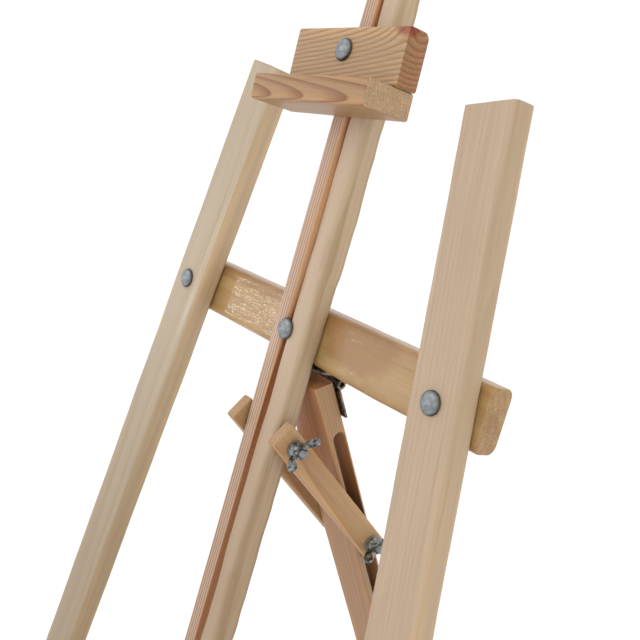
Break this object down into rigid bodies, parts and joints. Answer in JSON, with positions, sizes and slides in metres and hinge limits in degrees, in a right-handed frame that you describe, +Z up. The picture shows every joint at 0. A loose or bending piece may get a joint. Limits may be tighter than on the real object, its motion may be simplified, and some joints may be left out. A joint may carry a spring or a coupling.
{
  "type": "h frame easel",
  "caption": "Free-standing wooden studio easel: two converging front legs with bolted crossbars, a slotted mast with a sliding canvas clamp and shelf, and a hinged rear leg on tilt arms.",
  "frame": {"origin": "on the floor, in the middle of the easel's box", "axes": "+Z up, +Y from the painter to the rear leg, +X to the painter's right when facing the easel"},
  "size_m": [0.7516, 0.6396, 1.6903],
  "materials": {
    "pale_pine": "pale straight-grained pine under a thin satin varnish",
    "resinous_pine": "pinkish fine-grained pine under a thin satin varnish",
    "varnished_pine": "honey-yellow pine with strong grain under a glossy varnish",
    "tan_pine": "tan pine, oiled and matt",
    "zinc_plated_steel": "bluish bright zinc plating",
    "cast_wing_nut": "dull grey cast metal",
    "hinge_steel": "dark browned steel"
  },
  "bodies": {
    "front_frame": {"left_front_leg": "pale_pine", "right_front_leg": "pale_pine", "upper_crossbar": "varnished_pine", "lower_crossbar": "varnished_pine", "mast_left_strip": "resinous_pine", "mast_right_strip": "pale_pine", "mast_top_spacer": "resinous_pine", "mast_bottom_spacer": "resinous_pine", "upper_left_leg_bolt": "zinc_plated_steel", "upper_left_leg_washer": "zinc_plated_steel", "upper_left_leg_nut": "zinc_plated_steel", "upper_mast_bolt": "zinc_plated_steel", "upper_mast_washer": "zinc_plated_steel", "upper_mast_nut": "zinc_plated_steel", "upper_right_leg_bolt": "zinc_plated_steel", "upper_right_leg_washer": "zinc_plated_steel", "upper_right_leg_nut": "zinc_plated_steel", "lower_left_leg_bolt": "zinc_plated_steel", "lower_left_leg_washer": "zinc_plated_steel", "lower_left_leg_nut": "zinc_plated_steel", "lower_mast_bolt": "zinc_plated_steel", "lower_mast_washer": "zinc_plated_steel", "lower_mast_nut": "zinc_plated_steel", "lower_right_leg_bolt": "zinc_plated_steel", "lower_right_leg_washer": "zinc_plated_steel", "lower_right_leg_nut": "zinc_plated_steel", "hinge_upper_leaf": "hinge_steel", "hinge_pin": "hinge_steel", "hinge_upper_left_screw": "hinge_steel", "hinge_upper_right_screw": "hinge_steel", "tilt_pivot_bolt": "zinc_plated_steel", "tilt_pivot_washer": "zinc_plated_steel", "left_pivot_spacer": "zinc_plated_steel", "right_pivot_spacer": "zinc_plated_steel"},
    "rear_leg": {"rear_leg": "tan_pine", "hinge_lower_leaf": "hinge_steel", "hinge_lower_left_screw": "hinge_steel", "hinge_lower_right_screw": "hinge_steel"},
    "tilt_arms": {"left_tilt_arm": "tan_pine", "right_tilt_arm": "tan_pine", "tilt_lock_bolt": "zinc_plated_steel", "tilt_lock_washer": "zinc_plated_steel"},
    "tilt_pivot_wing_nut": {"tilt_pivot_wing_nut": "cast_wing_nut"},
    "tilt_lock_wing_nut": {"tilt_lock_wing_nut": "cast_wing_nut"},
    "clamp_carriage": {"clamp_bolt": "zinc_plated_steel", "clamp_washer": "zinc_plated_steel"},
    "clamp_head": {"clamp_block": "varnished_pine", "clamp_lip": "varnished_pine", "clamp_left_dowel": "pale_pine", "clamp_right_dowel": "pale_pine"},
    "clamp_wing_nut": {"clamp_wing_nut": "cast_wing_nut"},
    "shelf_carriage": {"shelf_rail": "pale_pine", "shelf_ledge": "pale_pine", "shelf_stop_strip": "pale_pine", "shelf_guide_key": "pale_pine", "shelf_left_dowel": "pale_pine", "shelf_right_dowel": "pale_pine", "shelf_bolt": "zinc_plated_steel", "shelf_washer": "zinc_plated_steel"},
    "shelf_wing_nut": {"shelf_wing_nut": "cast_wing_nut"}
  },
  "joints": [
    {"name": "rear_leg_fold", "type": "hinge", "parent": "front_frame", "child": "rear_leg", "pos_m": [-0.0015, 0.0602, 0.88574], "axis": [1, 0, 0], "range_deg": [-30, 4]},
    {"name": "tilt_arms_swing", "type": "hinge", "parent": "front_frame", "child": "tilt_arms", "pos_m": [-0.0015, -0.00002, 0.84122], "axis": [1, 0, 0], "range_deg": [-39, 6]},
    {"name": "clamp_slide", "type": "slide", "parent": "front_frame", "child": "clamp_carriage", "axis": [0, 0.3437, 0.9391], "range_m": [-0.18, 0.47]},
    {"name": "clamp_swivel", "type": "hinge", "parent": "clamp_carriage", "child": "clamp_head", "pos_m": [-0.0055, 0.1109, 1.17706], "axis": [0, 0.9391, -0.3437], "range_deg": [-20, 20]},
    {"name": "shelf_slide", "type": "slide", "parent": "front_frame", "child": "shelf_carriage", "axis": [0, 0.3437, 0.9391], "range_m": [-0.125, 0.19]},
    {"name": "clamp_wing_nut_turn", "type": "hinge", "parent": "clamp_carriage", "child": "clamp_wing_nut", "pos_m": [-0.0055, 0.1341, 1.16857], "axis": [0, 0.9391, -0.3437], "continuous": true},
    {"name": "shelf_wing_nut_turn", "type": "hinge", "parent": "shelf_carriage", "child": "shelf_wing_nut", "pos_m": [-0.0055, -0.14203, 0.41401], "axis": [0, 0.9391, -0.3437], "continuous": true},
    {"name": "tilt_pivot_wing_nut_turn", "type": "hinge", "parent": "front_frame", "child": "tilt_pivot_wing_nut", "pos_m": [0.0425, -0.00002, 0.84122], "axis": [1, 0, 0], "continuous": true},
    {"name": "tilt_lock_wing_nut_turn", "type": "hinge", "parent": "tilt_arms", "child": "tilt_lock_wing_nut", "pos_m": [0.0425, 0.09317, 0.70299], "axis": [1, 0, 0], "continuous": true}
  ],
  "couplings": [
    {"joint": "tilt_arms_swing", "follows": "rear_leg_fold", "ratio": 1.257}
  ]
}
